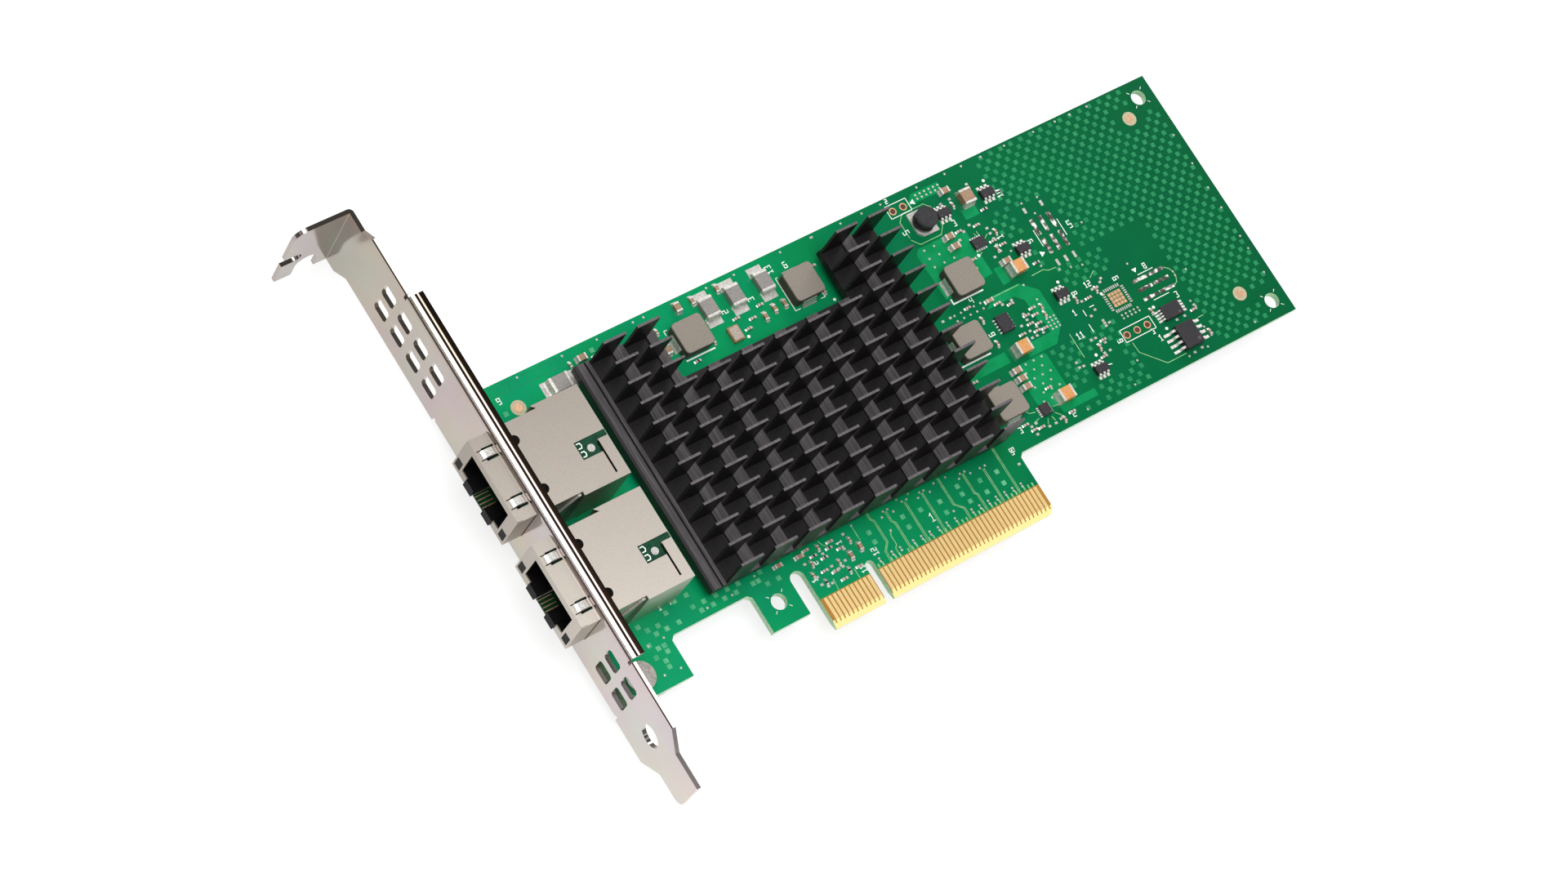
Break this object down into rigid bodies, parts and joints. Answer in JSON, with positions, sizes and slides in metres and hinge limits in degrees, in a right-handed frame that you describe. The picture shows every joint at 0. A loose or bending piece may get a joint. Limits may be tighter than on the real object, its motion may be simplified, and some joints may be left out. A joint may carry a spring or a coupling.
{
  "type": "network interface card",
  "caption": "Network card with two jacks on a folded slot bracket, a finned heat sink over the controller and gold edge fingers on the lower edge.",
  "frame": {"origin": "centre of the key notch, level with the tips of the edge fingers, on the component face of the board", "axes": "+X from the bracket to the card's far end, +Y from the edge fingers to the top edge, +Z out of the component side"},
  "size_m": [0.18, 0.1211, 0.0212],
  "materials": {
    "green_laminate": "green solder mask over glass-fibre laminate",
    "contact_gold": "hard gold plating",
    "bracket_steel": "bright nickel plating on folded steel",
    "screw_steel": "zinc plating",
    "shield_tin": "tin plating on thin steel",
    "black_moulding": "moulded glass-filled nylon",
    "light_pipe": "clear moulded plastic, dark when unlit",
    "black_anodised": "black anodised, semi-gloss",
    "grey_pad": "soft thermal pad",
    "chip_laminate": "package laminate",
    "lid_nickel": "nickel-plated copper lid",
    "coil_powder": "pressed iron powder, matt",
    "ferrite": "fired ferrite",
    "capacitor_tan": "fired barium titanate with tinned ends",
    "resistor_black": "glazed thick film",
    "chip_epoxy": "moulded epoxy",
    "crystal_can": "seam-sealed lid on ceramic"
  },
  "bodies": {
    "root": {"circuit_board": "green_laminate", "edge_contacts_front": "contact_gold", "edge_contacts_back": "contact_gold", "mounting_bracket": "bracket_steel", "bracket_screws": "screw_steel", "heat_sink": "black_anodised", "thermal_pad": "grey_pad", "controller_base": "chip_laminate", "controller_lid": "lid_nickel", "heat_sink_spacers": "screw_steel", "heat_sink_screws": "screw_steel", "drum_coil_base": "shield_tin", "drum_coil_core": "ferrite", "ferrite_beads": "ferrite", "large_capacitors": "capacitor_tan", "middle_capacitors": "capacitor_tan", "small_capacitors": "capacitor_tan", "small_resistors": "resistor_black", "crystal": "crystal_can", "flat_chips": "chip_epoxy", "six_lead_chips": "chip_epoxy", "memory_chip_upper": "chip_epoxy", "memory_chip_lower": "chip_epoxy", "power_coil_1": "coil_powder", "power_coil_2": "coil_powder", "power_coil_3": "coil_powder", "power_coil_4": "coil_powder", "power_coil_5": "coil_powder", "jack_shield_lower": "shield_tin", "jack_housing_lower": "black_moulding", "jack_light_pipes_lower": "light_pipe", "jack_inner_board_lower": "green_laminate", "jack_contacts_lower": "contact_gold", "jack_magnetics_lower": "black_moulding", "jack_shield_upper": "shield_tin", "jack_housing_upper": "black_moulding", "jack_light_pipes_upper": "light_pipe", "jack_inner_board_upper": "green_laminate", "jack_contacts_upper": "contact_gold", "jack_magnetics_upper": "black_moulding"}
  },
  "joints": []
}
